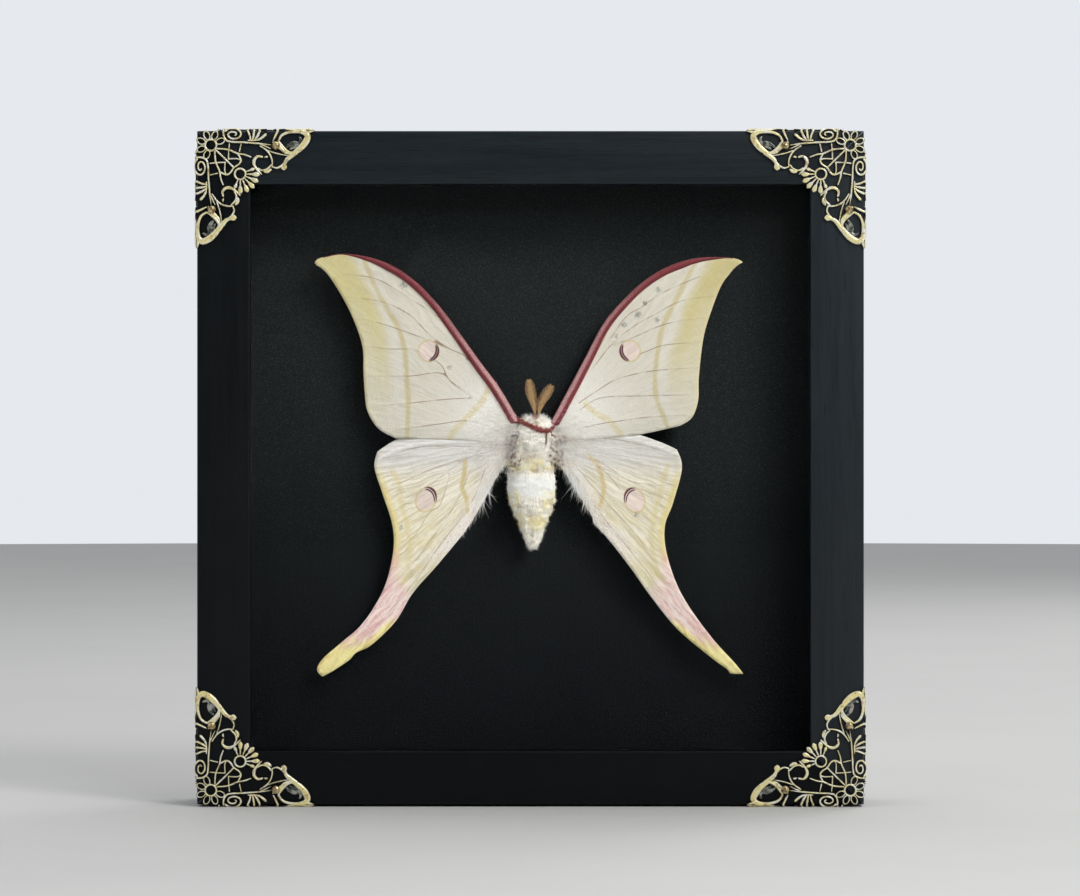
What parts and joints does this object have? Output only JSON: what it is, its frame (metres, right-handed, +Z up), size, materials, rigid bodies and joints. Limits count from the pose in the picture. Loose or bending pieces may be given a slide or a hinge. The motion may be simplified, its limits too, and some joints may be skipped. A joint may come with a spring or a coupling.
{
  "type": "framed moth specimen",
  "caption": "Long-tailed moon moth, spread and glued to a black board in a black wooden shadow box with glass and pierced brass corners.",
  "frame": {"origin": "centre of the box's footprint, at the underside of the lower brass corners that it stands on", "axes": "+Z up the frame, +X to the viewer's right, -Y out through the glazed front, +Y towards the wall"},
  "size_m": [0.2014, 0.031, 0.2034],
  "materials": {
    "black_wood": "satin black stain over fine straight grain",
    "clear_glass": "clear float glass with polished faces",
    "black_card": "matt black foam-core strip",
    "black_felt": "matt black felt-covered board with fine speckle",
    "hardboard": "raw brown hardboard",
    "zinc_steel": "dull zinc plating",
    "old_brass": "antique brass, pale worn tops over dark recesses",
    "tack_brass": "domed warm brass nail heads",
    "moth_fur": "dense cream fur with a dark red collar",
    "wing_scales": "matt cream scales with yellow, pink and maroon bands",
    "antenna": "dry golden-brown feathered antenna",
    "dried_glue": "clear amber dried glue"
  },
  "bodies": {
    "root": {"frame_rail_top": "black_wood", "frame_rail_bottom": "black_wood", "frame_rail_left": "black_wood", "frame_rail_right": "black_wood", "glass_pane": "clear_glass", "spacer_top": "black_card", "spacer_bottom": "black_card", "spacer_left": "black_card", "spacer_right": "black_card", "mount_board": "black_felt", "back_board": "hardboard", "retaining_tab_1_left": "zinc_steel", "retaining_tab_2_right": "zinc_steel", "retaining_tab_3_bottom": "zinc_steel", "retaining_tab_4_top": "zinc_steel", "retaining_tab_5_left": "zinc_steel", "retaining_tab_6_right": "zinc_steel", "retaining_tab_7_bottom": "zinc_steel", "retaining_tab_8_top": "zinc_steel", "sawtooth_hanger": "zinc_steel", "hanger_nail_1": "zinc_steel", "hanger_nail_2": "zinc_steel", "corner_ornament_top_left": "old_brass", "corner_ornament_top_right": "old_brass", "corner_ornament_bottom_left": "old_brass", "corner_ornament_bottom_right": "old_brass", "corner_tack_1": "tack_brass", "corner_tack_2": "tack_brass", "corner_tack_3": "tack_brass", "corner_tack_4": "tack_brass", "corner_tack_5": "tack_brass", "corner_tack_6": "tack_brass", "corner_tack_7": "tack_brass", "corner_tack_8": "tack_brass", "moth_body": "moth_fur", "forewing_left": "wing_scales", "forewing_right": "wing_scales", "hindwing_left": "wing_scales", "hindwing_right": "wing_scales", "antenna_left": "antenna", "antenna_right": "antenna", "glue_dab": "dried_glue"}
  },
  "joints": []
}
